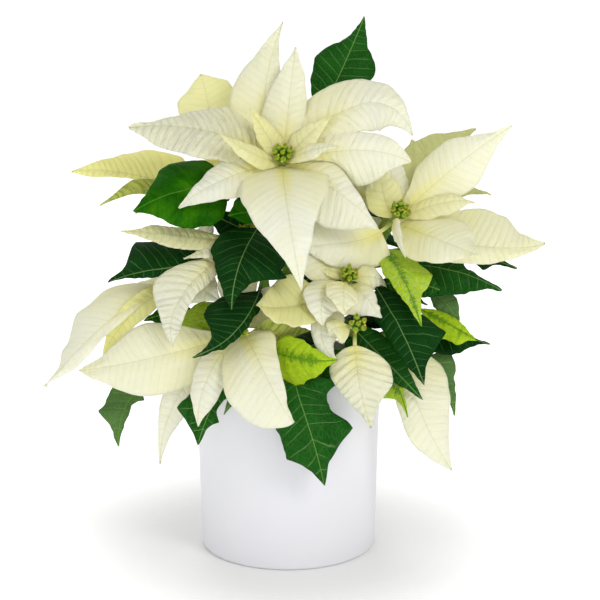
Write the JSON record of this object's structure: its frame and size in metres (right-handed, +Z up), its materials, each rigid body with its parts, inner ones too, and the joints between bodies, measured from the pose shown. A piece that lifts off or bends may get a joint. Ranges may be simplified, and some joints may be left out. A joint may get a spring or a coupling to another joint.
{
  "type": "potted poinsettia",
  "caption": "Potted poinsettia with cream white bracts over dark green lobed leaves, in a plain white glazed cylindrical pot that stands on its flat foot.",
  "frame": {"origin": "middle of the pot's flat foot, on the surface that it stands on", "axes": "+Z up along the pot's axis; -Y is the front, the side that the picture shows; +X to the right seen from the front"},
  "size_m": [0.3935, 0.2573, 0.4273],
  "materials": {
    "white_glaze": "smooth white glaze, softly glossy",
    "liner_plastic": "thin black nursery pot, matt",
    "potting_mix": "loose dark peat, rough",
    "leaf": "dark green leaf, satin",
    "bract": "cream white bract, matt with fine veins",
    "cup": "yellow green flower cup, satin"
  },
  "bodies": {
    "root": {"pot": "white_glaze", "liner": "liner_plastic", "potting_mix": "potting_mix", "stem_top": "leaf", "bracts_top": "bract", "cups_top": "cup", "stem_right": "leaf", "bracts_right": "bract", "cups_right": "cup", "stem_middle": "leaf", "bracts_middle": "bract", "cups_middle": "cup", "stem_low": "leaf", "bracts_low": "bract", "cups_low": "cup", "stem_low_left": "leaf", "bracts_low_left": "bract", "cups_low_left": "cup", "stem_left": "leaf", "bracts_left": "bract", "cups_left": "cup", "stem_far_left": "leaf", "bracts_far_left": "bract", "cups_far_left": "cup", "stem_back_left": "leaf", "bracts_back_left": "bract", "cups_back_left": "cup", "stem_back": "leaf", "bracts_back": "bract", "cups_back": "cup", "stem_back_right": "leaf", "bracts_back_right": "bract", "cups_back_right": "cup", "stem_low_right": "leaf", "bracts_low_right": "bract", "cups_low_right": "cup"}
  },
  "joints": []
}
